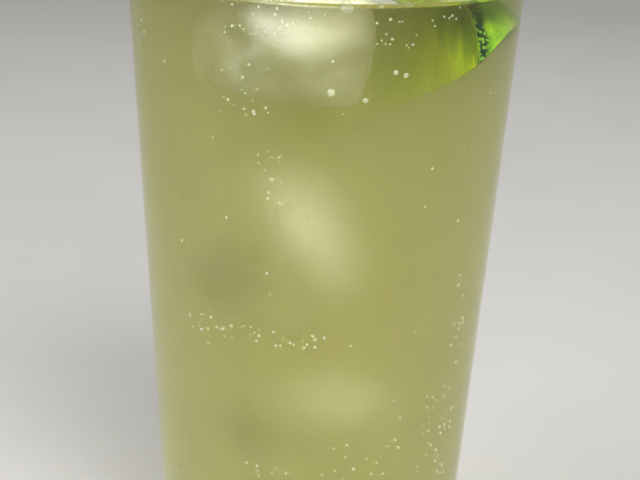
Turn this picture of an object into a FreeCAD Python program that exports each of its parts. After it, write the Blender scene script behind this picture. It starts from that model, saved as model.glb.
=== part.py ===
import FreeCAD, Part

import math
import os

import Sketcher

# A tall paloma in its glass: a flared pint tumbler, a cloudy grapefruit drink, one ice cube that
# breaks the surface and a lime wedge that leans on the wall. The glass stands on z = 0 round the
# Z axis, and -Y is its front. Lengths are in millimetres and angles in degrees.

SIZES = [
    # the glass
    ("glass_height", 152.0),
    ("rim_radius", 40.8),
    ("foot_radius", 30.8),
    ("rim_thickness", 2.0),
    ("wall_thickness", 3.0),  # at the floor: the wall thins towards the rim
    ("lip_round", 0.9),
    ("base_thickness", 9.0),
    ("floor_corner", 8.0),  # radius between the floor and the wall inside
    ("foot_round", 2.2),
    ("foot_ring", 6.5),  # width of the flat ring that the glass stands on
    ("punt_depth", 1.4),  # the shallow hollow under the base
    # the drink
    ("headspace", 12.5),  # from the rim down to the liquid
    # the ice cube at the surface
    ("ice_length", 26.0),
    ("ice_width", 24.0),
    ("ice_height", 22.0),
    ("ice_draft", 4.0),  # the mould's taper
    ("ice_round", 5.0),
    ("ice_above", 2.0),  # how much of it stands out of the liquid
    ("ice_wall_gap", 1.0),
    ("ice_bearing", -111.0),  # which way it lies from the glass's axis
    ("ice_heading", 24.0),
    ("ice_tilt", 5.0),
    # the lime wedge, cut lengthwise, with its core edge down and its rind up
    ("lime_half_length", 26.5),
    ("lime_radius", 25.0),
    ("wedge_angle", 52.0),
    ("lime_tip_gap", 1.2),  # from its upper tip to the wall
    ("lime_tip_depth", 12.0),  # from the liquid's surface down to its upper tip
    ("lime_tip_bearing", -37.5),
    ("lime_heading", -48.0),
    ("lime_rise", 23.0),
    ("lime_lean", 8.0),  # how far the front cut face leans back from upright
]

OVERSHOOT = 5.0  # how far a cutting shape runs past what it cuts
RING_TOLERANCE = 0.01

ORIGIN = (-1, 1)
X_AXIS = -1
Y_AXIS = -2
START = 1
END = 2


def cell(alias):
    """The expression that reads one size from the sheet."""
    return f"<<sizes>>.{alias}"


def bow_radius(chord, bow):
    """Expression: the radius of an arc that rises by bow over a chord."""
    return f"(({chord})^2 / 4 + ({bow})^2) / (2 * ({bow}))"


INNER_FOOT = f"({cell('foot_radius')} - {cell('wall_thickness')})"
INNER_RIM = f"({cell('rim_radius')} - {cell('rim_thickness')})"
INNER_DEPTH = f"({cell('glass_height')} - {cell('base_thickness')})"
RING_RADIUS = f"({cell('foot_radius')} - {cell('foot_ring')})"
LEVEL = f"({cell('glass_height')} - {cell('headspace')})"
TOOL_TOP = f"({cell('glass_height')} + {OVERSHOOT})"


def cavity_radius(height):
    """Expression: the inside radius of the glass at a height."""
    share = f"((({height}) - {cell('base_thickness')}) / {INNER_DEPTH})"
    return f"({INNER_FOOT} + ({INNER_RIM} - {INNER_FOOT}) * {share})"


def make_sheet(doc):
    """The spreadsheet that drives every size."""
    sheet = doc.addObject("Spreadsheet::Sheet", "sizes")
    for row, (alias, value) in enumerate(SIZES, start=1):
        sheet.set(f"A{row}", alias)
        sheet.set(f"B{row}", str(value))
        sheet.setAlias(f"B{row}", alias)
    doc.recompute()
    return sheet


def new_body(doc, name):
    body = doc.addObject("PartDesign::Body", name)
    body.Label = name
    return body


def new_sketch(body, name, role):
    """An empty sketch on one of the body's own origin planes."""
    sketch = body.newObject("Sketcher::SketchObject", name)
    plane = next(feature for feature in body.Origin.OriginFeatures if feature.Role == role)
    sketch.AttachmentSupport = (plane, [""])
    sketch.MapMode = "FlatFace"
    return sketch


def value_of(obj, expression):
    """What an expression comes to now, as a plain number."""
    return float(obj.evalExpression(expression))


def dimension(sketch, kind, *target, size):
    """Adds a dimension to the sketch and ties it to its expression."""
    index = sketch.addConstraint(Sketcher.Constraint(kind, *target, value_of(sketch, size)))
    sketch.setExpression(f"Constraints[{index}]", size)


def point(sketch, across, up):
    return FreeCAD.Vector(value_of(sketch, across), value_of(sketch, up), 0)


def line(sketch, start, end):
    return sketch.addGeometry(Part.LineSegment(start, end), False)


def arc(sketch, start, end, centre):
    """An arc that runs counter-clockwise from start to end."""
    circle = Part.Circle(centre, FreeCAD.Vector(0, 0, 1), start.distanceToPoint(centre))
    first, last = (math.atan2(p.y - centre.y, p.x - centre.x) for p in (start, end))
    return sketch.addGeometry(Part.ArcOfCircle(circle, first, last), False)


def place(sketch, geometry, end, across=None, up=None):
    """Holds one end of a line or arc at a place: no across is on the axis, no up is at zero."""
    if across is None:
        sketch.addConstraint(Sketcher.Constraint("PointOnObject", geometry, end, Y_AXIS))
    else:
        dimension(sketch, "DistanceX", *ORIGIN, geometry, end, size=across)
    if up is None:
        sketch.addConstraint(Sketcher.Constraint("PointOnObject", geometry, end, X_AXIS))
    else:
        dimension(sketch, "DistanceY", *ORIGIN, geometry, end, size=up)


def chain(sketch, geometries):
    """Joins each line or arc's end to the start of the next, all the way round."""
    for this, following in zip(geometries, geometries[1:] + geometries[:1]):
        sketch.addConstraint(Sketcher.Constraint("Coincident", this, END, following, START))


def turned(body, kind, name, sketch, axis="V_Axis"):
    """A revolved solid or a revolved cut from a sketch."""
    feature = body.newObject(kind, name)
    feature.Profile = sketch
    feature.ReferenceAxis = (sketch, [axis])
    feature.Angle = 360.0
    sketch.Visibility = False
    return feature


def ring_edges(shape, height, radius):
    """The names of the circular edges round the Z axis at one height and radius."""
    names = []
    for number, edge in enumerate(shape.Edges, start=1):
        if edge.Degenerated or not isinstance(edge.Curve, Part.Circle):
            continue
        off_height = abs(edge.Curve.Center.z - height)
        off_radius = abs(edge.Curve.Radius - radius)
        if max(off_height, off_radius) < RING_TOLERANCE:
            names.append(f"Edge{number}")
    return names


def rounded(body, name, base, edges, radius):
    """A fillet along named edges of the feature before it."""
    feature = body.newObject("PartDesign::Fillet", name)
    feature.Base = (base, edges)
    feature.setExpression("Radius", radius)
    return feature


def outer_profile(body):
    """Half of the tumbler's outside: rim, wall, flat ring and the hollow underneath."""
    sketch = new_sketch(body, "outer_profile", "XZ_Plane")
    height = cell("glass_height")
    rim = cell("rim_radius")
    foot = cell("foot_radius")
    punt = cell("punt_depth")
    hollow_radius = bow_radius(f"2 * {RING_RADIUS}", punt)

    top_centre = point(sketch, "0", height)
    rim_point = point(sketch, rim, height)
    foot_point = point(sketch, foot, "0")
    ring_point = point(sketch, RING_RADIUS, "0")
    hollow_top = point(sketch, "0", punt)

    axis = line(sketch, hollow_top, top_centre)
    top = line(sketch, top_centre, rim_point)
    wall = line(sketch, rim_point, foot_point)
    ring = line(sketch, foot_point, ring_point)
    hollow = arc(sketch, ring_point, hollow_top, point(sketch, "0", f"{punt} - {hollow_radius}"))

    chain(sketch, [axis, top, wall, ring, hollow])
    place(sketch, axis, START, up=punt)
    place(sketch, axis, END, up=height)
    place(sketch, top, END, across=rim, up=height)
    place(sketch, wall, END, across=foot)
    place(sketch, ring, END, across=RING_RADIUS)
    dimension(sketch, "Radius", hollow, size=hollow_radius)
    return sketch


def cavity_profile(body):
    """Half of the tumbler's inside. The glass is cut with it, and the drink is turned from it."""
    sketch = new_sketch(body, "cavity_profile", "XZ_Plane")
    floor = cell("base_thickness")
    height = cell("glass_height")
    corner = cell("floor_corner")

    floor_centre = point(sketch, "0", floor)
    top_centre = point(sketch, "0", TOOL_TOP)
    top_point = point(sketch, INNER_RIM, TOOL_TOP)
    rim_point = point(sketch, INNER_RIM, height)
    corner_top = point(sketch, INNER_FOOT, f"{floor} + {corner}")
    corner_foot = point(sketch, f"{INNER_FOOT} - {corner}", floor)
    corner_centre = point(sketch, f"{INNER_FOOT} - {corner}", f"{floor} + {corner}")

    axis = line(sketch, floor_centre, top_centre)
    top = line(sketch, top_centre, top_point)
    throat = line(sketch, top_point, rim_point)
    wall = line(sketch, rim_point, corner_top)
    bend = arc(sketch, corner_foot, corner_top, corner_centre)
    base = line(sketch, corner_foot, floor_centre)
    square_corner = sketch.addGeometry(Part.Point(point(sketch, INNER_FOOT, floor)), True)

    for one, one_end, other, other_end in (
        (axis, END, top, START),
        (top, END, throat, START),
        (throat, END, wall, START),
        (base, END, axis, START),
    ):
        sketch.addConstraint(Sketcher.Constraint("Coincident", one, one_end, other, other_end))
    place(sketch, axis, START, up=floor)
    place(sketch, axis, END, up=TOOL_TOP)
    place(sketch, top, END, across=INNER_RIM, up=TOOL_TOP)
    place(sketch, throat, END, across=INNER_RIM, up=height)
    place(sketch, square_corner, START, across=INNER_FOOT, up=floor)
    sketch.addConstraint(Sketcher.Constraint("PointOnObject", square_corner, START, wall))
    dimension(sketch, "Radius", bend, size=corner)
    sketch.addConstraint(Sketcher.Constraint("Horizontal", base))
    sketch.addConstraint(Sketcher.Constraint("Tangent", wall, END, bend, END))
    sketch.addConstraint(Sketcher.Constraint("Tangent", bend, START, base, START))
    return sketch


def make_glass(doc):
    """The tumbler: turned outside, turned cavity, rounded lip and foot."""
    body = new_body(doc, "glass")
    turned(body, "PartDesign::Revolution", "glass_outside", outer_profile(body))
    doc.recompute()
    cavity = turned(body, "PartDesign::Groove", "glass_cavity", cavity_profile(body))
    doc.recompute()

    height = value_of(cavity, cell("glass_height"))
    lip_edges = []
    for radius in (cell("rim_radius"), INNER_RIM):
        lip_edges += ring_edges(cavity.Shape, height, value_of(cavity, radius))
    lip_limit = f"min({cell('lip_round')}; 0.48 * {cell('rim_thickness')})"
    lip = rounded(body, "glass_lip", cavity, lip_edges, lip_limit)
    doc.recompute()

    foot_edges = ring_edges(lip.Shape, 0.0, value_of(lip, cell("foot_radius")))
    rounded(body, "glass_foot", lip, foot_edges, cell("foot_round"))
    doc.recompute()
    return body


def make_ice(doc):
    """The cube that floats at the surface: tapered by its mould and rounded by melting."""
    body = new_body(doc, "ice_cube")
    sketch = new_sketch(body, "ice_outline", "XY_Plane")
    half_length = f"{cell('ice_length')} / 2"
    half_width = f"{cell('ice_width')} / 2"
    corners = [
        point(sketch, f"{along} * {half_length}", f"{across} * {half_width}")
        for along, across in ((-1, -1), (1, -1), (1, 1), (-1, 1))
    ]
    sides = [line(sketch, a, b) for a, b in zip(corners, corners[1:] + corners[:1])]
    chain(sketch, sides)
    front, right, back, left = sides
    for side in (front, back):
        sketch.addConstraint(Sketcher.Constraint("Horizontal", side))
    for side in (right, left):
        sketch.addConstraint(Sketcher.Constraint("Vertical", side))
    sketch.addConstraint(Sketcher.Constraint("Symmetric", front, START, back, START, *ORIGIN))
    place(sketch, back, START, across=half_length, up=half_width)

    block = body.newObject("PartDesign::Pad", "ice_block")
    block.Profile = sketch
    block.setExpression("Length", cell("ice_height"))
    block.setExpression("TaperAngle", f"-1 * {cell('ice_draft')}")
    doc.recompute()
    melted = rounded(body, "ice_melted", block, [], cell("ice_round"))
    melted.UseAllEdges = True

    foot_height = f"({LEVEL} + {cell('ice_above')} - {cell('ice_height')})"
    half_diagonal = f"sqrt({cell('ice_length')}^2 + {cell('ice_width')}^2) / 2"
    rounded_off = f"{cell('ice_round')} * (sqrt(2) - 1)"
    room = f"({cavity_radius(foot_height)} - {cell('ice_wall_gap')})"
    reach = f"({room} - {half_diagonal} + {rounded_off})"
    body.setExpression("Placement.Base.x", f"{reach} * cos({cell('ice_bearing')})")
    body.setExpression("Placement.Base.y", f"{reach} * sin({cell('ice_bearing')})")
    body.setExpression("Placement.Base.z", foot_height)
    body.setExpression("Placement.Rotation.Yaw", cell("ice_heading"))
    body.setExpression("Placement.Rotation.Pitch", cell("ice_tilt"))
    doc.recompute()
    return body


def make_lime(doc):
    """The wedge: the lime's half profile turned round its core through the wedge's angle."""
    body = new_body(doc, "lime_wedge")
    sketch = new_sketch(body, "lime_face", "XY_Plane")
    half_length = cell("lime_half_length")
    rind_radius = bow_radius(f"2 * {half_length}", cell("lime_radius"))
    tip = point(sketch, half_length, "0")
    core = line(sketch, tip * -1, tip)
    rind = arc(sketch, tip, tip * -1, point(sketch, "0", f"{cell('lime_radius')} - {rind_radius}"))
    chain(sketch, [core, rind])
    place(sketch, rind, START, across=half_length)
    sketch.addConstraint(Sketcher.Constraint("Symmetric", rind, START, rind, END, *ORIGIN))
    dimension(sketch, "Radius", rind, size=rind_radius)

    wedge = turned(body, "PartDesign::Revolution", "lime_flesh", sketch, axis="H_Axis")
    wedge.Reversed = True
    wedge.setExpression("Angle", cell("wedge_angle"))

    tip_height = f"({LEVEL} - {cell('lime_tip_depth')})"
    tip_reach = f"({cavity_radius(tip_height)} - {cell('lime_tip_gap')})"
    rise = cell("lime_rise")
    heading = cell("lime_heading")
    for axis, along_wall, along_core in (
        ("x", f"{tip_reach} * cos({cell('lime_tip_bearing')})", f"cos({rise}) * cos({heading})"),
        ("y", f"{tip_reach} * sin({cell('lime_tip_bearing')})", f"cos({rise}) * sin({heading})"),
        ("z", tip_height, f"sin({rise})"),
    ):
        middle = f"{along_wall} - {half_length} * {along_core}"
        body.setExpression(f"Placement.Base.{axis}", middle)
    body.setExpression("Placement.Rotation.Yaw", heading)
    body.setExpression("Placement.Rotation.Pitch", f"-1 * {rise}")
    body.setExpression("Placement.Rotation.Roll", f"90 - {cell('lime_lean')}")
    doc.recompute()
    return body


def make_drink(doc, garnish):
    """The liquid: the cavity up to the level, cut round what breaks its surface."""
    filling = new_body(doc, "cavity_filling")
    turned(filling, "PartDesign::Revolution", "cavity_turned", cavity_profile(filling))

    below_level = doc.addObject("Part::Cylinder", "below_level")
    below_level.setExpression("Radius", f"{cell('rim_radius')} + {OVERSHOOT}")
    below_level.setExpression("Height", LEVEL)

    liquid = doc.addObject("Part::Common", "liquid")
    liquid.Base = filling
    liquid.Tool = below_level
    for piece in garnish:
        cut = doc.addObject("Part::Cut", f"liquid_round_{piece.Label}")
        cut.Base = liquid
        cut.Tool = piece
        liquid = cut
    liquid.Label = "drink"
    doc.recompute()
    return liquid


def check(doc, pieces):
    """Stops if anything in the document failed or a piece isn't one sound solid."""
    for obj in doc.Objects:
        if {"Invalid", "Error"} & set(obj.State):
            raise RuntimeError(f"{obj.Label} failed: {obj.State}")
        if obj.isDerivedFrom("Sketcher::SketchObject") and obj.solve() != 0:
            raise RuntimeError(f"the sketch {obj.Label} has no solution")
    for piece in pieces:
        shape = piece.Shape
        if shape.isNull() or not shape.isValid() or len(shape.Solids) != 1:
            raise RuntimeError(f"{piece.Label} isn't one sound solid")


def main():
    doc = FreeCAD.newDocument("paloma")
    make_sheet(doc)
    glass = make_glass(doc)
    ice = make_ice(doc)
    lime = make_lime(doc)
    drink = make_drink(doc, [lime, ice])
    pieces = [glass, drink, ice, lime]
    check(doc, pieces)

    os.makedirs("parts", exist_ok=True)
    for piece in pieces:
        piece.Shape.exportStep(f"parts/{piece.Label}.step")
        box = piece.Shape.BoundBox
        print(
            f"{piece.Label}: {piece.Shape.Volume / 1000:.1f} ml,"
            f" x {box.XMin:.2f} to {box.XMax:.2f},"
            f" y {box.YMin:.2f} to {box.YMax:.2f},"
            f" z {box.ZMin:.2f} to {box.ZMax:.2f}"
        )


main()
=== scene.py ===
# %% [markdown]
# # A paloma in its glass
#
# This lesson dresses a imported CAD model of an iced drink: a tall flared tumbler, cloudy
# grapefruit and lime soda, an ice cube that floats, two more that have sunk, and a wedge of lime.
# The CAD model fixes the glass, the drink, the floating cube and the lime. Blender adds what makes
# it look drinkable: sunk ice with white hearts, haze that light really travels through, juicy
# fruit, and hundreds of bubbles.

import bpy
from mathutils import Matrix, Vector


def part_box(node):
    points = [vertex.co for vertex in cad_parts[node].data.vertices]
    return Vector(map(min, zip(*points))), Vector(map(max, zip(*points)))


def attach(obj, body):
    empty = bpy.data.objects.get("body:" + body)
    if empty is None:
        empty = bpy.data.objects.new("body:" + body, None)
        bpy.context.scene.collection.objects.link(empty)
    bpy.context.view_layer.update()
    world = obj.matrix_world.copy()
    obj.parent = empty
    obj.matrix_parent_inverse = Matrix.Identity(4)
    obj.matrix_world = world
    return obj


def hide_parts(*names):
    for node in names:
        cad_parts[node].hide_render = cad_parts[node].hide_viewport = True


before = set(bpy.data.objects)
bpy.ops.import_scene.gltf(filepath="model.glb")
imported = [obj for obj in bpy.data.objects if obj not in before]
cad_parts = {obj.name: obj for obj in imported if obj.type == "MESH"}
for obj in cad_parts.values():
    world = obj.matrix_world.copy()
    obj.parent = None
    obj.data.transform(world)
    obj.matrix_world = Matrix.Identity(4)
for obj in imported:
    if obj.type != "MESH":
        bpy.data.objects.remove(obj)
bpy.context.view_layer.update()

# %% Tools and units
import math
import random

import bpy
from mathutils import Euler, Matrix, Vector, kdtree, noise

MM = 0.001
TURN = 2 * math.pi
scene = bpy.context.scene
print("one millimetre is", MM, "of the frame's units")

# %% [markdown]
# ## Sizes that the model already knows
#
# The glass and the drink are measured on their CAD nodes, and the floating cube and the lime will be
# centred on theirs. The sunk ice and the bubbles have no node, so their places are listed here. The
# wall is a straight cone, so two points of it are enough: one low and one high. They give the radius
# at any height, outside the glass and inside it.

# %% Measure the nodes
drink_low, drink_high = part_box("drink")
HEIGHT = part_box("glass")[1].z
LEVEL = drink_high.z
FLOOR = drink_low.z


def widest_ring(node, low, high):
    """Height and radius of the node's widest point between two heights."""
    points = [v.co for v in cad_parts[node].data.vertices if low <= v.co.z <= high]
    far = max(points, key=lambda p: p.xy.length)
    return far.z, far.xy.length


def straight_wall(first, second):
    """A function that gives the cone's radius at a height."""
    slope = (second[1] - first[1]) / (second[0] - first[0])
    return lambda height: first[1] + slope * (height - first[0])


CORNER_TOP = FLOOR + 11 * MM
cavity_radius = straight_wall(
    widest_ring("drink", FLOOR, CORNER_TOP), widest_ring("drink", LEVEL - MM, LEVEL)
)
outer_radius = straight_wall(
    widest_ring("glass", 0.0, 12 * MM), widest_ring("glass", HEIGHT - 8 * MM, HEIGHT)
)
print("the drink stands", round((LEVEL - FLOOR) / MM, 1), "mm deep, with its surface",
      round(cavity_radius(LEVEL) / MM, 1), "mm in radius")

# %% [markdown]
# ## Shader sums in plain Python
#
# A material in Blender is a graph of nodes. Drawing it by hand is fine for one, but here a small
# class wraps an output socket, so that `mask * 0.5 + 0.2` adds the two Math nodes by itself. A
# second class holds the material being made, and its one method `node` makes any other node.

# %% A socket that can be added and multiplied


class Socket:
    """One output of a shader node."""

    def __init__(self, finish, output):
        self.finish = finish
        self.output = output

    def sum(self, operation, left, right):
        settings = {"operation": operation}
        return self.finish.node("ShaderNodeMath", settings, {0: left, 1: right})

    def __add__(self, other):
        return self.sum("ADD", self, other)

    def __radd__(self, other):
        return self.sum("ADD", other, self)

    def __sub__(self, other):
        return self.sum("SUBTRACT", self, other)

    def __rsub__(self, other):
        return self.sum("SUBTRACT", other, self)

    def __mul__(self, other):
        return self.sum("MULTIPLY", self, other)

    def __rmul__(self, other):
        return self.sum("MULTIPLY", other, self)


print("a socket now understands + - and *")

# %% A finish under construction


def shown(red, green, blue):
    """A colour as a screen shows it, 0 to 255, in the linear values that a shader wants."""
    def linear(value):
        value = value / 255
        return value / 12.92 if value <= 0.04045 else ((value + 0.055) / 1.055) ** 2.4
    return (linear(red), linear(green), linear(blue), 1.0)


class Finish:
    """A material while it is being made, or a world, whose nodes work the same way."""

    def __init__(self, name, kind="materials", end="ShaderNodeOutputMaterial"):
        self.material = getattr(bpy.data, kind).new(name)
        self.material.use_nodes = True
        self.tree = self.material.node_tree
        self.tree.nodes.clear()
        self.end = self.tree.nodes.new(end)

    def node(self, kind, settings=None, sockets=None, out=0):
        """Adds a node: its settings first, then values or links for its sockets."""
        made = self.tree.nodes.new(kind)
        for name, value in (settings or {}).items():
            if name == "stops":
                ramp = made.color_ramp.elements
                while len(ramp) < len(value):
                    ramp.new(0.5)
                for stop, (place, colour) in zip(ramp, value):
                    stop.position = place
                    stop.color = colour
            else:
                setattr(made, name, value)
        for name, value in (sockets or {}).items():
            if isinstance(value, Socket):
                self.tree.links.new(value.output, made.inputs[name])
            else:
                made.inputs[name].default_value = value
        return Socket(self, made.outputs[out])

    def place(self):
        """Where a point of the surface is, in metres of the frame."""
        return self.node("ShaderNodeTexCoord", out="Object")

    def grain(self, size, detail=2.0, place=None, stretch=(1, 1, 1)):
        """Soft noise from 0 to 1, whose lumps are about as large as size."""
        settings = {"operation": "MULTIPLY"}
        where = self.node("ShaderNodeVectorMath", settings,
                          {0: place or self.place(), 1: stretch})
        return self.node("ShaderNodeTexNoise", {},
                         {"Vector": where, "Scale": 1 / size, "Detail": detail})

    def ramp(self, value, *stops):
        """A value turned into a colour by (place, colour) stops."""
        return self.node("ShaderNodeValToRGB", {"stops": stops}, {0: value})

    def span(self, value, low, high, to_low=0.0, to_high=1.0):
        """A value from low..high brought to to_low..to_high, and held there."""
        settings = {"interpolation_type": "SMOOTHSTEP"}
        sockets = {0: value, 1: low, 2: high, 3: to_low, 4: to_high}
        return self.node("ShaderNodeMapRange", settings, sockets)

    def mix(self, factor, first, second):
        """Two colours mixed: the sockets for colours are numbers 6 and 7."""
        settings = {"data_type": "RGBA"}
        return self.node("ShaderNodeMix", settings, {0: factor, 6: first, 7: second}, out=2)

    def away(self, spot, scale=(1, 1, 1)):
        """How far a point of the surface is from a spot, with each axis scaled first."""
        scaled = self.node("ShaderNodeVectorMath", {"operation": "MULTIPLY"},
                           {0: self.place(), 1: scale})
        there = [part * factor for part, factor in zip(spot, scale)]
        return self.node("ShaderNodeVectorMath", {"operation": "DISTANCE"},
                         {0: scaled, 1: there}, out="Value")

    def bump(self, height, depth, strength=1.0):
        """A normal that follows a height value; depth is its size in metres."""
        sockets = {"Height": height, "Distance": depth, "Strength": strength}
        return self.node("ShaderNodeBump", {}, sockets)

    def body(self, **sockets):
        """The Principled shader, its sockets named with _ for a space."""
        named = {name.replace("_", " "): value for name, value in sockets.items()}
        return self.node("ShaderNodeBsdfPrincipled", {}, named)

    def blend(self, factor, first, second):
        """Two shaders mixed."""
        return self.node("ShaderNodeMixShader", {}, {0: factor, 1: first, 2: second})

    def lit_through(self, shader, tint=(1, 1, 1, 1)):
        """Lets lamps shine through, as they do through real glass."""
        lamp = self.node("ShaderNodeLightPath", out="Is Shadow Ray")
        clear = self.node("ShaderNodeBsdfTransparent", {}, {"Color": tint})
        return self.blend(lamp, shader, clear)

    def done(self, shader, volume=None):
        """Ends the material and gives it back."""
        self.tree.links.new(shader.output, self.end.inputs["Surface"])
        if volume is not None:
            self.tree.links.new(volume.output, self.end.inputs["Volume"])
        return self.material


print("shown(160, 158, 103) is", [round(c, 3) for c in shown(160, 158, 103)])

# %% [markdown]
# ## Helpers for meshes
#
# Most of what is in the glass is round or nearly so, so its skin is a stack of rings of points.
# One helper joins such rings, with a single point as the pole at either end. Another makes the
# object, and puts it on the one body that the whole drink rides on.

# %% Skins from stacked rings


def skin(rings):
    """Points and faces of a closed skin through rings that go up; its poles have one point."""
    points = []
    faces = []
    starts = []
    for ring in rings:
        starts.append(len(points))
        points.extend(ring)
    for row in range(len(rings) - 1):
        low, high = starts[row], starts[row + 1]
        wide = max(len(rings[row]), len(rings[row + 1]))
        for i in range(wide):
            j = (i + 1) % wide
            if len(rings[row]) == 1:
                faces.append((low, high + j, high + i))
            elif len(rings[row + 1]) == 1:
                faces.append((low + i, low + j, high))
            else:
                faces.append((low + i, low + j, high + j, high + i))
    return points, faces


def add_piece(name, points, faces, materials):
    """A smooth mesh on the body root, with the materials that it is given."""
    mesh = bpy.data.meshes.new(name)
    mesh.from_pydata([tuple(p) for p in points], [], faces)
    mesh.shade_smooth()
    mesh.update()
    for material in materials:
        mesh.materials.append(material)
    piece = bpy.data.objects.new(name, mesh)
    scene.collection.objects.link(piece)
    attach(piece, "root")
    print(name, "has", len(mesh.polygons), "faces")
    return piece


def around(count):
    """The bearings of points evenly round a ring."""
    return [TURN * i / count for i in range(count)]


def ring(radius, height, count):
    """A level ring of points about the glass's axis."""
    return [Vector((radius * math.cos(a), radius * math.sin(a), height)) for a in around(count)]


def on_wall(bearing, height, inward=0.0):
    """A point on the inside of the wall. Bearing 0 faces the drinker, and it grows to the right."""
    radius = cavity_radius(height) - inward
    turn = math.radians(bearing)
    return Vector((radius * math.sin(turn), -radius * math.cos(turn), height))


print("a ring has", len(ring(1.0, 0.0, 12)), "points here")

# %% [markdown]
# ## Ice
#
# Ice from a tray starts as a block with drafted sides and melts from its corners inward, so it
# ends as a soft pebble of a cube, with shallow dips where warm soda ran past. A superellipsoid is
# that shape: a power of 2 gives a ball, a high power gives a box. Two octaves of noise then melt
# it. The floating cube takes the CAD node's place, and the sunk ones are the scene's own.

# %% One melted cube


def melted_cube(centre, size, turns, power, seed, melt=0.9 * MM, rows=56, count=96):
    """Points and faces of a worn ice cube: its sides' lengths and its turns in degrees."""
    spin = Euler([math.radians(t) for t in turns], "XYZ").to_matrix()
    shift = Vector((seed * 7.3, seed * 3.1, seed * 5.7))

    def worn(direction):
        total = sum(abs(c) ** power for c in direction)
        body = direction * total ** (-1 / power)
        broad = noise.noise(body * 1.4 + shift)
        fine = noise.noise(body * 4.2 + shift) * 0.3
        local = Vector(body[i] * size[i] / 2 for i in range(3))
        return centre + spin @ (local + direction * melt * (broad + fine))

    rings = [[worn(Vector((0, 0, -1)))]]
    for row in range(1, rows):
        tilt = math.pi * row / rows - math.pi / 2
        rings.append([
            worn(Vector((math.cos(tilt) * math.cos(a), math.cos(tilt) * math.sin(a), math.sin(tilt))))
            for a in around(count)
        ])
    rings.append([worn(Vector((0, 0, 1)))])
    return skin(rings)


ice_low, ice_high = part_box("ice_cube")
CUBE_TURNS = (0, 5, 24)
CUBE_SIZE = (26 * MM, 24 * MM, 22 * MM)
cubes = {
    "ice_top": dict(centre=(ice_low + ice_high) / 2, size=CUBE_SIZE, turns=CUBE_TURNS,
                    power=5.0, seed=1),
    "ice_middle": dict(centre=Vector((-8.5 * MM, -11 * MM, FLOOR + 80 * MM)),
                       size=(31 * MM, 27 * MM, 38 * MM), turns=(4, 8, -16), power=4.0, seed=2),
    "ice_low": dict(centre=Vector((-1 * MM, -7 * MM, FLOOR + 42 * MM)),
                    size=(32 * MM, 28 * MM, 28 * MM), turns=(-8, -12, 32), power=3.6, seed=3),
}
print("three cubes of ice, the largest", max(max(c["size"]) for c in cubes.values()) / MM, "mm long")

# %% [markdown]
# Ice is clear where it froze slowly, at its skin, and white at its heart, where the air that was
# in the water gathered as fine bubbles. Both are modelled: a clear outside with frosted patches,
# and a milky heart inside it. Under the liquid, ice hardly bends light, because it is almost as
# dense as water; only the cap that stands out of the drink glitters, so it has its own finish.

# %% Ice materials
CLEAR = (0.93, 0.94, 0.93, 1)
# A darker tint, which paints shade into the sunk ice near given spots, and how far that shade
# reaches.
PAINTED_SHADE = (0.58, 0.58, 0.52, 1)
PAINTED_SHADE_REACH = 13 * MM
WATER_TO_ICE = 1.03
AIR_TO_ICE = 1.31
WHITE_SPOT = Vector(((ice_low.x + ice_high.x) / 2 + 7 * MM, ice_low.y + 2 * MM,
                     ice_high.z - 4 * MM))
WHITE_CORE = 3.5 * MM
WHITE_REACH = 19 * MM
FLATTEN = (1.0, 1.0, 1.7)


def ice_finish(name, bend, tint, frost_share, white_share=0.0, painted_shade=()):
    """Clear ice with frosted patches, a whiter spot, and painted shade darkening its tint near given
    spots.
    """
    made = Finish(name)
    patch = made.grain(9 * MM, 2.0)
    pits = made.grain(1.6 * MM, 3.0)
    share = made.span(patch, 0.30, 0.75, 0.2 * frost_share, frost_share)
    if white_share:
        from_spot = made.away(WHITE_SPOT, FLATTEN) + patch * 3 * MM
        share = share + made.span(from_spot, WHITE_CORE, WHITE_REACH, white_share, 0.0)
    tone = made.ramp(patch, (0.3, tint), (0.7, (0.98, 0.98, 0.97, 1)))
    # Painted shade: the tint darkens towards each given spot.
    for spot in painted_shade:
        tone = made.mix(made.span(made.away(spot), 2 * MM, PAINTED_SHADE_REACH, 1.0, 0.0), tone, PAINTED_SHADE)
    clear = made.body(
        Base_Color=tone,
        Roughness=made.span(pits, 0.3, 0.7, 0.03, 0.15),
        IOR=bend,
        Transmission_Weight=1.0,
        Normal=made.bump(pits, 0.12 * MM, 0.5),
    )
    frost = made.body(
        Base_Color=made.ramp(pits, (0.3, (0.95, 0.96, 1.0, 1)), (0.7, (0.99, 0.99, 1.0, 1))),
        Roughness=0.6,
        IOR=bend + 0.05,
    )
    return made.done(made.lit_through(made.blend(share, clear, frost), (0.9, 0.91, 0.9, 1)))


floating_ice = ice_finish("floating_ice", WATER_TO_ICE, CLEAR, 0.20, 1.0)
dry_ice_cap = ice_finish("ice_above_the_drink", AIR_TO_ICE, CLEAR, 0.22, 0.08)
# Spots low on the left front of the sunk cubes, where painted shade darkens the ice.
painted_shade_spots = [cubes["ice_middle"]["centre"] + Vector((-7, -9, -5)) * MM,
                cubes["ice_low"]["centre"] + Vector((-7, -9, -1)) * MM]
sunk_ice = ice_finish("sunk_ice", 1.0, (0.93, 0.94, 0.91, 1), 0.04, painted_shade=painted_shade_spots)
print("the white spot is", round((LEVEL - WHITE_SPOT.z) / MM, 1), "mm under the surface")

# %% [markdown]
# Haze in front of sunk ice hides its skin, so what shows is its heart: a soft white cloud. A heart
# has no edge, because its air thins out. So it is five skins, one in another, and each is fainter
# than the one inside it. A number on the points, cloud, says how thick the air is there.

# %% Milky hearts
heart_finish = Finish("milky_ice_heart")
wisps = heart_finish.grain(3.5 * MM, 4.0)
cloud = heart_finish.node("ShaderNodeAttribute", {"attribute_name": "cloud"}, out="Fac")
heart_shader = heart_finish.body(
    Base_Color=heart_finish.ramp(wisps, (0.3, (0.90, 0.91, 0.96, 1)), (0.7, (0.96, 0.97, 1.0, 1))),
    Roughness=0.7,
    IOR=1.0,
    Alpha=cloud * heart_finish.span(wisps, 0.25, 0.60, 0.45, 1.0),
)
heart_material = heart_finish.done(heart_shader)

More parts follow.
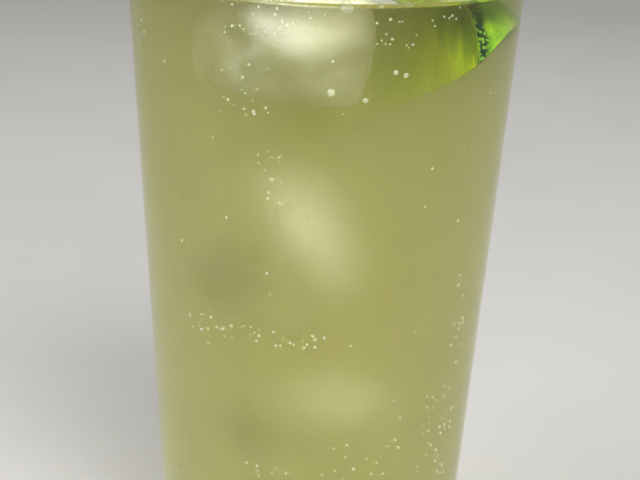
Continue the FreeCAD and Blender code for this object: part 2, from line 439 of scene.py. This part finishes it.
# Each skin of a heart: its size as a share of the heart's, and how thick its air is.
LAYERS = ((0.45, 0.32), (0.68, 0.25), (0.90, 0.18), (1.10, 0.11), (1.30, 0.06))
hearts = {
    "ice_top_heart": dict(centre=cubes["ice_top"]["centre"] + Vector((4, -3, 3)) * MM,
                          size=(13 * MM, 10 * MM, 11 * MM), turns=(0, 20, 30), power=2.4, seed=4,
                          milk=0.9),
    "ice_middle_heart": dict(centre=cubes["ice_middle"]["centre"] + Vector((7, -6, 5)) * MM,
                             size=(15 * MM, 12 * MM, 27 * MM), turns=(0, -24, 10), power=2.2,
                             seed=5, milk=0.52),
    "ice_low_heart": dict(centre=cubes["ice_low"]["centre"] + Vector((4, -3, 4)) * MM,
                          size=(22 * MM, 14 * MM, 13 * MM), turns=(0, 8, 0), power=2.2, seed=6,
                          milk=0.33),
}
print("a heart has", len(LAYERS), "skins")

# %% Build the ice
for name, facts in cubes.items():
    points, faces = melted_cube(**facts)
    if name == "ice_top":
        piece = add_piece(name, points, faces, [floating_ice, dry_ice_cap])
        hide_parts("ice_cube")
        dry = [int(side.center.z > LEVEL) for side in piece.data.polygons]
        piece.data.polygons.foreach_set("material_index", dry)
    else:
        add_piece(name, points, faces, [sunk_ice])

for name, facts in hearts.items():
    points = []
    faces = []
    clouds = []
    milk = facts.pop("milk")
    for share, thickness in LAYERS:
        layer = dict(facts, size=tuple(side * share for side in facts["size"]))
        more, sides = melted_cube(**layer, melt=1.4 * MM, rows=26, count=36)
        faces += [tuple(len(points) + i for i in side) for side in sides]
        points += more
        clouds += [thickness * milk] * len(more)
    piece = add_piece(name, points, faces, [heart_material])
    piece.data.attributes.new("cloud", "FLOAT", "POINT").data.foreach_set("value", clouds)

# %% [markdown]
# ## The lime wedge
#
# A wedge cut along the fruit has three sides: a strip of rind, and two cut faces that meet at the
# core. Its outline along the fruit is an arc. The skin goes once round that three-sided section
# at each of many steps along the fruit: up the first cut, over the rind, and down the second. The
# rind gets its pores and the flesh its juice sacs as true relief.

# %% The wedge's section and its relief
HALF_LENGTH = 26.5 * MM
FRUIT_RADIUS = 25.0 * MM
WEDGE = math.radians(52)
PEEL = 0.45 * MM
PITH = 1.2 * MM
LIME_TURNS = (-48, -23, 82)
arc_radius = (HALF_LENGTH ** 2 + FRUIT_RADIUS ** 2) / (2 * FRUIT_RADIUS)


def fruit_radius(along):
    """The fruit's radius at a distance along its axis from its middle."""
    return math.sqrt(max(arc_radius ** 2 - along ** 2, 0.0)) - (arc_radius - FRUIT_RADIUS)


def sac_relief(along, out, side):
    """How far the juice sacs stand from the cut: long lumps that run from core to rind."""
    fan = along / MM * 0.55 * (1 + 0.25 * noise.noise(Vector((out / MM * 0.2, side * 9, 0))))
    return noise.noise(Vector((fan, out / MM * 0.13 + side * 5, side * 11)))


def wedge_ring(along, cut_steps, rind_steps):
    """One turn round the section: points, depths under the rind, ways in from one cut edge."""
    radius = fruit_radius(along)
    made = []
    for k in range(cut_steps + rind_steps + cut_steps):
        if k < cut_steps:
            out, turn, side = k / cut_steps, 0.0, 1
        elif k < cut_steps + rind_steps:
            out, turn, side = 1.0, (k - cut_steps) / rind_steps * WEDGE, 0
        else:
            out, turn, side = 1 - (k - cut_steps - rind_steps) / cut_steps, WEDGE, -1
        reach = radius * out
        depth = radius - reach
        point = Vector((along, reach * math.cos(-turn), reach * math.sin(-turn)))
        if side:
            flesh = min(max((depth - PEEL - PITH) / MM, 0.0), 1.0) * min(reach / (2 * MM), 1.0)
            normal = Vector((0, math.sin(turn), math.cos(turn))) * side
            point += normal * flesh * sac_relief(along, reach, side) * 0.35 * MM
        else:
            spot = point / MM
            edge = min(turn, WEDGE - turn) * radius / MM
            pores = max(noise.noise(spot * 1.1) - 0.12, 0.0) * min(edge, 1.0)
            lumps = noise.noise(spot * 0.16) * min(edge / 3, 1.0)
            outward = Vector((0, math.cos(-turn), math.sin(-turn)))
            point += outward * (lumps * 0.25 - pores * 0.35) * MM
        rim = 0.0 if side else turn * radius
        made.append((point, depth, rim, Vector((along, reach, side * 0.02))))
    return made


STEPS = 150
CUT_STEPS = 44
RIND_STEPS = 60
wedge_rings = []
for step in range(1, STEPS):
    along = -HALF_LENGTH * math.cos(math.pi * step / STEPS)
    wedge_rings.append(wedge_ring(along, CUT_STEPS, RIND_STEPS))
tips = [(Vector((end * HALF_LENGTH, 0, 0)), 0.0, 0.0, Vector((end * HALF_LENGTH, 0, 0)))
        for end in (-1, 1)]
wedge_rings = [[tips[0]], *wedge_rings, [tips[1]]]
print("the wedge is", 2 * HALF_LENGTH / MM, "mm long, and its flesh starts",
      round((PEEL + PITH) / MM, 2), "mm under the rind")

# %% [markdown]
# Lime flesh is wet and a little see-through, its sacs paler along their middles. The pith is a
# thin pale line, and the rind is waxy and brighter on its back, with a dark speckled band of painted
# shade along its edge. The finish follows numbers that the mesh carries at each point: its depth
# under the rind, its way in from the rind's edge, and its place on the cut.

# %% Lime material
lime_finish = Finish("lime")
depth = lime_finish.node("ShaderNodeAttribute", {"attribute_name": "depth"}, out="Fac")
rim = lime_finish.node("ShaderNodeAttribute", {"attribute_name": "rim"}, out="Fac")
cut_place = lime_finish.node("ShaderNodeAttribute", {"attribute_name": "cut_place"}, out="Vector")
sacs = lime_finish.grain(1.9 * MM, 2.0, cut_place, stretch=(1, 0.22, 1))
pulp = lime_finish.grain(0.5 * MM, 2.0, cut_place, stretch=(1, 0.5, 1))
mottle = lime_finish.grain(5 * MM, 3.0)
lime_height = lime_finish.node("ShaderNodeSeparateXYZ", {}, {0: lime_finish.place()}, out="Z")
pore = lime_finish.node("ShaderNodeTexVoronoi", {}, {
    "Vector": lime_finish.place(), "Scale": 1 / (0.9 * MM)}, out="Distance")
flesh_colour = lime_finish.ramp(
    sacs, (0.30, shown(84, 108, 0)), (0.52, shown(112, 138, 0)), (0.74, shown(150, 172, 10)))
deep_colour = lime_finish.ramp(
    sacs, (0.30, shown(134, 160, 0)), (0.52, shown(172, 198, 6)), (0.74, shown(216, 234, 54)))
flesh_colour = lime_finish.mix(
    lime_finish.span(depth, 3 * MM, 15 * MM), flesh_colour, deep_colour)
rind_colour = lime_finish.ramp(
    mottle, (0.30, shown(90, 142, 0)), (0.50, shown(124, 172, 0)), (0.72, shown(164, 196, 16)))
# Pale dots at the rind's pores: painted highlights.
rind_colour = lime_finish.mix(
    lime_finish.span(pore, 0.05, 0.40), lime_finish.mix(0.5, rind_colour, shown(190, 214, 90)),
    rind_colour)
# Painted shade: a dark band with pale specks along the rind's edge, its inner border ragged.
ragged = mottle * 2.4 * MM + pore * MM
painted_edge_shade = 1 - lime_finish.span(rim + ragged, 3.8 * MM, 5.2 * MM)
speck = lime_finish.span(pore + pulp * 0.3, 0.40, 0.75, 1.0, 0.0)
painted_shade_and_brown = lime_finish.mix(speck, shown(12, 44, 3), shown(104, 152, 30))
# Within that band, just under the liquid's surface, the colour turns to a brown patch.
near_top = lime_finish.span(lime_height + mottle * 2 * MM, LEVEL - 2 * MM, LEVEL, 0.0, 0.7)
brown = near_top * (1 - lime_finish.span(lime_height, LEVEL - MM, LEVEL + 0.5 * MM))
painted_shade_and_brown = lime_finish.mix(brown, painted_shade_and_brown, shown(124, 84, 40))
rind_colour = lime_finish.mix(painted_edge_shade, rind_colour, painted_shade_and_brown)
in_pith = lime_finish.span(depth, PEEL * 0.8, PEEL * 1.3)
in_flesh = lime_finish.span(depth + pulp * 0.5 * MM, PEEL + PITH * 0.8, PEEL + PITH * 1.5)
colour = lime_finish.mix(in_pith, rind_colour, shown(156, 172, 76))
colour = lime_finish.mix(in_flesh, colour, flesh_colour)
lime_shader = lime_finish.body(
    Base_Color=colour,
    Roughness=lime_finish.span(in_flesh, 0.0, 1.0, 0.42, 0.18),
    IOR=1.05,
    Coat_Weight=lime_finish.span(lime_height, LEVEL - 0.4 * MM, LEVEL + 0.6 * MM, 0.0, 0.5),
    Coat_Roughness=0.15,
    Normal=lime_finish.bump(sacs * in_flesh + pulp * 0.3 + pore * 0.5, 0.25 * MM, 0.6),
)
lime_material = lime_finish.done(lime_shader)
print("the lime's finish has", len(lime_finish.tree.nodes), "nodes")

# %% Build the lime


def seat_in(node, points):
    """Points moved so that their box has the same middle as a CAD node's box."""
    low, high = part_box(node)
    mine_low = Vector(min(p[i] for p in points) for i in range(3))
    mine_high = Vector(max(p[i] for p in points) for i in range(3))
    shift = (low + high) / 2 - (mine_low + mine_high) / 2
    print("moved by", [round(s / MM, 2) for s in shift], "mm to sit in", node)
    return [p + shift for p in points]


heading, pitch, roll = (math.radians(t) for t in LIME_TURNS)
lime_spin = (Matrix.Rotation(heading, 3, "Z") @ Matrix.Rotation(pitch, 3, "Y")
             @ Matrix.Rotation(roll, 3, "X"))
lime_points, lime_faces = skin([[lime_spin @ spot[0] for spot in turn] for turn in wedge_rings])
lime_points = seat_in("lime_wedge", lime_points)
lime = add_piece("lime", lime_points, lime_faces, [lime_material])
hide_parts("lime_wedge")
spots = [spot for turn in wedge_rings for spot in turn]
for index, name in ((1, "depth"), (2, "rim")):
    numbers = lime.data.attributes.new(name, "FLOAT", "POINT")
    numbers.data.foreach_set("value", [spot[index] for spot in spots])
places = lime.data.attributes.new("cut_place", "FLOAT_VECTOR", "POINT")
places.data.foreach_set("vector", [part for spot in spots for part in spot[3]])

# %% [markdown]
# ## The liquid's surface
#
# A liquid climbs a little where it touches glass, ice or fruit: the meniscus. One function gives
# its height anywhere, from the distance to the wall and to the nearest wet point of a thing that
# floats. The drink's top and the wet line on the glass both use it, so they always meet.

# %% How high the liquid stands
CLIMB = 1.3 * MM
SAG = 0.6 * MM
FADE = 1.4 * MM
COUNT = 192

wet_line = [v.co for name in ("ice_top", "lime") for v in bpy.data.objects[name].data.vertices
            if abs(v.co.z - LEVEL) < 0.8 * MM]
wet_tree = kdtree.KDTree(len(wet_line))
for index, point in enumerate(wet_line):
    wet_tree.insert(Vector((point.x, point.y, 0)), index)
wet_tree.balance()


def surface_height(x, y):
    """The liquid's height, which climbs to what it wets."""
    from_wall = max(cavity_radius(LEVEL) - math.hypot(x, y), 0.0)
    from_things = wet_tree.find(Vector((x, y, 0)))[2]
    swell = noise.noise(Vector((x, y, 0)) / (9 * MM)) * 0.12 * MM
    edge = math.exp(-from_wall / FADE) + 0.6 * math.exp(-from_things / FADE)
    return LEVEL - SAG + CLIMB * edge + swell


def wet_ring(radius):
    """A ring that lies on the liquid's surface."""
    return [Vector((p.x, p.y, surface_height(p.x, p.y))) for p in ring(radius, 0.0, COUNT)]


print("at the wall the liquid stands at", round(surface_height(0, -cavity_radius(LEVEL)) / MM, 2),
      "mm, and in the open at", round(surface_height(0, 0) / MM, 2), "mm")

# %% [markdown]
# ## The glass
#
# The tumbler is one pressed piece: a thick foot with a shallow hollow under it, a wall that
# flares, and a fire-polished lip. A half outline, turned about the axis, gives all of it. The
# inside falls into two parts. Above the drink it meets air, and below it meets liquid, where it
# bends light far less. So the skin has a ring just where the liquid ends, and two finishes.

# %% The glass's outline
PUNT = 1.4 * MM
RING_INSIDE = 24.3 * MM
FOOT_ROUND = 2.2 * MM
LIP_ROUND = 0.9 * MM
WALL_STEPS = 40


def bend(centre_r, centre_z, radius, start, end, steps):
    """Points of an arc of the outline, its angles in degrees."""
    turns = [math.radians(start + (end - start) * k / steps) for k in range(steps + 1)]
    return [(centre_r + radius * math.cos(t), centre_z + radius * math.sin(t)) for t in turns]


corner = {}
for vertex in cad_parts["drink"].data.vertices:
    if vertex.co.z < CORNER_TOP:
        level = round(vertex.co.z / MM, 2)
        corner[level] = max(corner.get(level, 0.0), vertex.co.xy.length)
inside_low = [(radius, level * MM) for level, radius in sorted(corner.items())]

lean = math.degrees(math.atan((outer_radius(HEIGHT) - outer_radius(0.0)) / HEIGHT))
foot_centre = outer_radius(FOOT_ROUND) - FOOT_ROUND
lip_height = HEIGHT - LIP_ROUND
lip_outside = outer_radius(lip_height) - LIP_ROUND / math.cos(math.radians(lean))
lip_inside = cavity_radius(lip_height) + LIP_ROUND / math.cos(math.radians(lean))
outside = [(RING_INSIDE * k / 6, PUNT * (1 - (k / 6) ** 2)) for k in range(1, 7)]
outside += bend(foot_centre, FOOT_ROUND, FOOT_ROUND, -90, -lean, 6)
wall_heights = [HEIGHT * k / WALL_STEPS for k in range(1, WALL_STEPS)]
outside += [(outer_radius(z), z) for z in wall_heights]
outside += bend(lip_outside, lip_height, LIP_ROUND, -lean, 90, 5)
dry_inside = bend(lip_inside, lip_height, LIP_ROUND, 90, 180, 5)
dry_inside += [(cavity_radius(z), z) for z in (HEIGHT - 4 * MM, HEIGHT - 7 * MM)]
wet_inside = [(cavity_radius(z), z) for z in reversed(wall_heights)
              if inside_low[-1][1] < z < LEVEL - MM]
wet_inside += list(reversed(inside_low))

glass_rings = [[Vector((0, 0, PUNT))]]
glass_rings += [ring(r, z, COUNT) for r, z in outside + dry_inside]
dry_rows = len(glass_rings)
glass_rings.append(wet_ring(cavity_radius(LEVEL)))
glass_rings += [ring(r, z, COUNT) for r, z in wet_inside]
glass_rings.append([Vector((0, 0, FLOOR))])
glass_points, glass_faces = skin(glass_rings)
print("the glass's outline has", len(glass_rings), "rings, and the wall leans by",
      round(lean, 2), "degrees")

# %% Clear glass
AIR_TO_GLASS = 1.45
AIR_TO_DRINK = 1.34


def glass_finish(name, bends):
    """Clear glass: a slow bump makes its reflections waver, and wipe marks change its gloss."""
    made = Finish(name)
    wave = made.grain(14 * MM, 1.0, stretch=(1, 1, 0.35))
    wipe = made.grain(9 * MM, 4.0, stretch=(1, 1, 0.25))
    clear = made.body(
        Base_Color=made.ramp(wave, (0.3, (0.965, 0.98, 0.965, 1)), (0.7, (0.985, 0.99, 0.98, 1))),
        Roughness=made.span(wipe, 0.5, 0.8, 0.0, 0.02),
        IOR=bends,
        Transmission_Weight=1.0,
        Normal=made.bump(wave, 0.15 * MM, 0.5),
    )
    return made.done(made.lit_through(clear))


glass = add_piece("glass_tumbler", glass_points, glass_faces,
                  [glass_finish("clear_glass", AIR_TO_GLASS),
                   glass_finish("clear_glass_wet_side", AIR_TO_GLASS / AIR_TO_DRINK)])
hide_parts("glass")
first_wet_face = COUNT * (dry_rows - 1)
wet_faces = [int(i >= first_wet_face) for i in range(len(glass_faces))]
glass.data.polygons.foreach_set("material_index", wet_faces)

# %% [markdown]
# ## The drink
#
# A cloudy drink isn't a coloured surface: light goes in, bounces between specks of pulp, and
# comes out tinted. So the drink is a closed body that light travels through. It reaches a third
# of a millimetre into the glass, which leaves no film of air between them.

# %% The drink's body
REACH = 0.35 * MM
TOP_ROWS = 60

profile = inside_low + [(cavity_radius(z), z) for z in wall_heights
                        if inside_low[-1][1] < z < LEVEL - 2 * MM]
drink_rings = [[Vector((0, 0, FLOOR - REACH))]]
for k, (radius, height) in enumerate(profile):
    before = profile[max(k - 1, 0)]
    after = profile[min(k + 1, len(profile) - 1)]
    along = Vector((after[0] - before[0], after[1] - before[1])).normalized()
    if k == 0:
        along = Vector((1, 0))
    drink_rings.append(ring(radius + REACH * along.y, height - REACH * along.x, COUNT))
side_rows = len(drink_rings)
top_radius = cavity_radius(LEVEL) + REACH
for row in range(TOP_ROWS):
    drink_rings.append(wet_ring(top_radius * (1 - (row / TOP_ROWS) ** 1.6)))
drink_rings.append([Vector((0, 0, surface_height(0, 0)))])
drink_points, drink_faces = skin(drink_rings)
print("the drink's skin has", len(drink_faces), "faces")

# %% [markdown]
# Juice takes light away, blue most of all, and gives the colour, so the body holds an absorbing
# volume. The drink's side bends nothing, because the glass around it already does. Its top, which
# meets air, does, and is a little milky too, because pulp and the finest bubbles gather there.

# %% Cloudy soda
JUICE = 27.5


def soda_finish(name, bends, clear, pale, deep):
    """The drink's material: how its skin bends light, how clear it is, and two colours."""
    made = Finish(name)
    swirl = made.grain(22 * MM, 2.0)
    specks = made.grain(0.9 * MM, 2.0)
    surface = made.body(
        Base_Color=made.ramp(swirl, (0.3, deep), (0.7, pale)),
        Roughness=made.span(specks, 0.3, 0.7, 0.02, 0.05),
        IOR=bends,
        Transmission_Weight=clear,
    )
    juice = made.node("ShaderNodeVolumeAbsorption", {}, {
        "Color": (0.735, 0.71, 0.06, 1), "Density": JUICE})
    return made.done(made.lit_through(surface), juice)


side_finish = soda_finish("cloudy_soda_side", 1.0, 1.0, shown(253, 253, 244), shown(249, 249, 236))
surface_finish = soda_finish("cloudy_soda_surface", AIR_TO_DRINK, 0.82,
                             shown(246, 244, 158), shown(236, 232, 136))
drink = add_piece("drink_body", drink_points, drink_faces, [side_finish, surface_finish])
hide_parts("drink")
first_top_face = COUNT * side_rows
top_faces = [int(i >= first_top_face) for i in range(len(drink_faces))]
drink.data.polygons.foreach_set("material_index", top_faces)

# %% [markdown]
# Specks of pulp only turn light aside. They are larger than light's waves, so they throw it
# mostly forward, which is why things in the drink look soft and yet keep their colour. The pulp
# has a body of its own just inside the juice's, so that each is one plain volume. Ice and lime
# that press towards the wall leave little room for pulp, so its skin dips in front of them.

# %% Floating pulp
HAZE = 85.0
FORWARD = 0.87
HAZE_INSET = 0.15 * MM
LIME_BEARING = 40
LIME_DEPTH = 5.5 * MM

pulp_finish = Finish("floating_pulp")
drift = pulp_finish.grain(12 * MM, 2.0)
pulp_skin = pulp_finish.body(
    Base_Color=pulp_finish.ramp(drift, (0.3, shown(214, 214, 150)), (0.7, shown(232, 232, 176))),
    Roughness=0.9,
    Alpha=pulp_finish.span(drift, 0.35, 0.75, 0.0, 0.012),
)
pulp_volume = pulp_finish.node("ShaderNodeVolumeScatter", {}, {
    "Color": (0.98, 0.975, 0.58, 1), "Density": HAZE, "Anisotropy": FORWARD})

# For each place where the pulp dips: the point that it lies behind, how far the pulp is kept from
# the wall there, and how wide and tall the dip is.
lime_front = on_wall(LIME_BEARING, LEVEL - LIME_DEPTH)
THIN_PLACES = [(WHITE_SPOT, 4.5 * MM, 12 * MM, 9 * MM), (lime_front, 8 * MM, 15 * MM, 10 * MM)]


def pulp_point(point, outward):
    """A point of the pulp's skin, from one of the drink's."""
    kept = point - outward * HAZE_INSET
    radius = cavity_radius(point.z)
    push = 0.0
    for place, depth, wide, tall in THIN_PLACES:
        on_the_wall = place.xy.normalized() * radius
        across = (point.xy - on_the_wall).length / wide
        push += depth * math.exp(-across ** 2 - ((point.z - place.z) / tall) ** 2)
    share = 1 - push / radius
    return Vector((kept.x * share, kept.y * share, kept.z))


pulp_points = [pulp_point(v.co, v.normal) for v in drink.data.vertices]
for place, depth, wide, tall in THIN_PLACES:
    print("the pulp thins at bearing", round(math.degrees(math.atan2(place.x, -place.y))),
          "degrees and height", round(place.z / MM), "mm")
add_piece("drink_pulp", pulp_points, drink_faces, [pulp_finish.done(pulp_skin, pulp_volume)])

# %% [markdown]
# ## Bubbles
#
# Soda leaves bubbles wherever something is rough enough to start them. They sit on the wall in
# strings, rise through the drink, and gather in a ring at the surface. Each is a true small ball,
# most of them about half a millimetre across, and each kind is joined into one mesh.

# %% Bubble material
bubble_finish = Finish("soda_bubble")
shine = bubble_finish.grain(0.4 * MM, 1.0)
bubble_shader = bubble_finish.body(
    Base_Color=bubble_finish.ramp(shine, (0.3, (0.80, 0.82, 0.70, 1)), (0.7, (0.95, 0.95, 0.88, 1))),
    Roughness=0.05,
    IOR=1.15,
    Transmission_Weight=0.84,
)
bubble_material = bubble_finish.done(bubble_finish.lit_through(bubble_shader))
BUBBLE_SEED = 20
chance = random.Random(BUBBLE_SEED)
print("the bubbles' places are drawn by chance from seed", BUBBLE_SEED)


def ball(centre, radius, rows=6, count=10):
    """A small ball's rings."""
    rings = [[centre - Vector((0, 0, radius))]]
    for row in range(1, rows):
        tilt = math.pi * row / rows - math.pi / 2
        rings.append([centre + radius * Vector((math.cos(tilt) * math.cos(a),
                                                math.cos(tilt) * math.sin(a), math.sin(tilt)))
                      for a in around(count)])
    rings.append([centre + Vector((0, 0, radius))])
    return skin(rings)


def bubbles(name, spots, **quality):
    """Many balls as one piece, from (centre, radius) pairs."""
    points = []
    faces = []
    for centre, radius in spots:
        more, sides = ball(centre, radius, **quality)
        start = len(points)
        points += more
        faces += [tuple(start + i for i in side) for side in sides]
    return add_piece(name, points, faces, [bubble_material])


# %% Bubbles on the wall
# Each string: bearings from and to in degrees, heights from and to in millimetres, and how many.
STRINGS = [
    (-72, -64, 124, 135, 16), (-29, 0, 133.5, 139, 34), (14, 26, 132, 139, 14), (26, 41, 135, 139, 7),
    (-31, -14, 118, 129, 18), (-19, -11, 106, 112, 9), (-17, -6, 101, 104, 6),
    (-48, 4, 72.5, 76, 46), (54, 63, 38, 87, 44), (44, 52, 40, 60, 14),
    (8, 35, 42, 52, 16), (-32, -12, 40, 46, 6), (-60, 60, 30, 130, 30),
    (70, 290, 25, 137, 150),
]
# Each single bubble: its bearing in degrees, its height and its radius in millimetres.
SINGLES = [(2.4, 123.8, 0.75), (12.3, 122.4, 0.5), (20.8, 127.5, 0.5), (24.0, 126.9, 0.5)]


def bubble_radius():
    """Most bubbles are small."""
    return (0.15 + 0.20 * chance.random() ** 2) * MM


wall_spots = []
for first, last, low, high, number in STRINGS:
    for _ in range(number):
        size = bubble_radius()
        bearing = chance.uniform(first, last)
        height = chance.uniform(low, high) * MM
        wall_spots.append((on_wall(bearing, height, size * 0.9), size))
for bearing, height, size in SINGLES:
    wall_spots.append((on_wall(bearing, height * MM, size * MM), size * MM))
bubbles("bubbles_on_wall", wall_spots)

# %% Bubbles in the drink and at its surface
free_spots = []
while len(free_spots) < 160:
    height = chance.uniform(FLOOR + 2 * MM, LEVEL - 2 * MM)
    inward = chance.uniform(1, 12) * MM
    free_spots.append((on_wall(chance.uniform(0, 360), height, inward), bubble_radius()))
bubbles("bubbles_rising", free_spots)

foam_spots = []
for _ in range(90):
    size = bubble_radius() * chance.uniform(0.9, 1.8)
    spot = on_wall(chance.uniform(0, 360), LEVEL, size * chance.uniform(1.0, 2.5))
    foam_spots.append((Vector((spot.x, spot.y, surface_height(spot.x, spot.y))), size))
for point in chance.sample(wet_line, 50):
    size = bubble_radius() * chance.uniform(1.0, 1.8)
    foam_spots.append((Vector((point.x, point.y, surface_height(point.x, point.y))), size))
big = on_wall(5.7, LEVEL, 1.4 * MM)
foam_spots.append((Vector((big.x, big.y, LEVEL)), 1.35 * MM))
bubbles("bubbles_at_surface", foam_spots, rows=10, count=16)

# %% [markdown]
# ## Studio
#
# The floor is plain and pale, and light is soft: a bright even world and three large lamps, the
# strongest from high on the right. The world is two at once. The one that the camera sees, also
# through glass and in reflections, is pale like the floor. The other lights the drink, and only as
# strongly as it should.

# %% Floor
FLOOR_REACH = 4.0
floor_finish = Finish("pale_floor")
cloud = floor_finish.grain(60 * MM, 3.0)
floor_shader = floor_finish.body(
    Base_Color=floor_finish.ramp(cloud, (0.2, shown(205, 204, 200)), (0.8, shown(212, 210, 206))),
    Roughness=0.7,
)
bpy.ops.mesh.primitive_circle_add(vertices=96, radius=FLOOR_REACH, fill_type="NGON")
floor = bpy.context.object
floor.name = "floor"
floor.data.materials.append(floor_finish.done(floor_shader))
print("the floor is", 2 * FLOOR_REACH, "m across")

# %% World
WORLD_LIGHT = 0.36
studio = Finish("studio", "worlds", "ShaderNodeOutputWorld")
lighting = studio.node("ShaderNodeBackground", {}, {
    "Color": (1.0, 1.0, 1.0, 1.0), "Strength": WORLD_LIGHT})
backdrop = studio.node("ShaderNodeBackground", {}, {
    "Color": shown(222, 221, 218), "Strength": 1.0})
seen = studio.node("ShaderNodeLightPath", out="Is Camera Ray")
for output in ("Is Glossy Ray", "Is Transmission Ray"):
    ray = studio.node("ShaderNodeLightPath", out=output)
    seen = studio.node("ShaderNodeMath", {"operation": "MAXIMUM"}, {0: seen, 1: ray})
scene.world = studio.done(studio.blend(seen, lighting, backdrop))
print("the world lights at", WORLD_LIGHT, "of white")

# %% Lamps
AIM = Vector((0.0, 0.0, HEIGHT * 0.55))
SPREAD = math.radians(120)
LAMPS = {
    "key_lamp": ((0.30, -0.74, 0.70), 0.60, 4.3),
    "fill_lamp": ((-0.70, -0.40, 0.55), 0.60, 1.6),
    "back_lamp": ((0.10, 0.75, 0.70), 0.60, 0.6),
}
for name, (place, size, watts) in LAMPS.items():
    lamp = bpy.data.lights.new(name, "AREA")
    lamp.shape = "DISK"
    lamp.size = size
    lamp.energy = watts
    lamp.spread = SPREAD
    holder = bpy.data.objects.new(name, lamp)
    scene.collection.objects.link(holder)
    holder.location = place
    holder.rotation_euler = (AIM - Vector(place)).to_track_quat("-Z", "Y").to_euler()
print(len(LAMPS), "lamps aim at a point", round(AIM.z / MM), "mm up")

# %% [markdown]
# ## Camera
#
# The drinker looks down at the glass from close by, a little above its rim, with the top of the
# glass and its foot both out of the frame. The head is tilted by two degrees, so the glass leans.

# %% Place the camera
EYE = Vector((0.0, -0.305, 0.180))
LOOK_AT = Vector((0.0005, 0.0, 0.084))
LEAN = math.radians(1.97)
camera_data = bpy.data.cameras.new("camera")
camera_data.sensor_width = 36.0
camera_data.lens = 84.375
camera = bpy.data.objects.new("camera", camera_data)
scene.collection.objects.link(camera)
scene.camera = camera
forward = (LOOK_AT - EYE).normalized()
level_right = forward.cross(Vector((0, 0, 1))).normalized()
level_up = level_right.cross(forward)
right = math.cos(LEAN) * level_right + math.sin(LEAN) * level_up
up = math.cos(LEAN) * level_up - math.sin(LEAN) * level_right
matrix = Matrix((right, up, -forward)).transposed().to_4x4()
matrix.translation = EYE
camera.matrix_world = matrix
print("the eye is", round(EYE.length / MM), "mm from the foot")

# %% Light paths
# Haze needs many bounces: light enters a cloudy drink, turns often, and leaves again.
scene.cycles.max_bounces = 32
scene.cycles.volume_bounces = 14
scene.cycles.transmission_bounces = 16
scene.cycles.transparent_max_bounces = 24
scene.view_settings.view_transform = "Standard"
print("in the haze light may turn", scene.cycles.volume_bounces, "times")
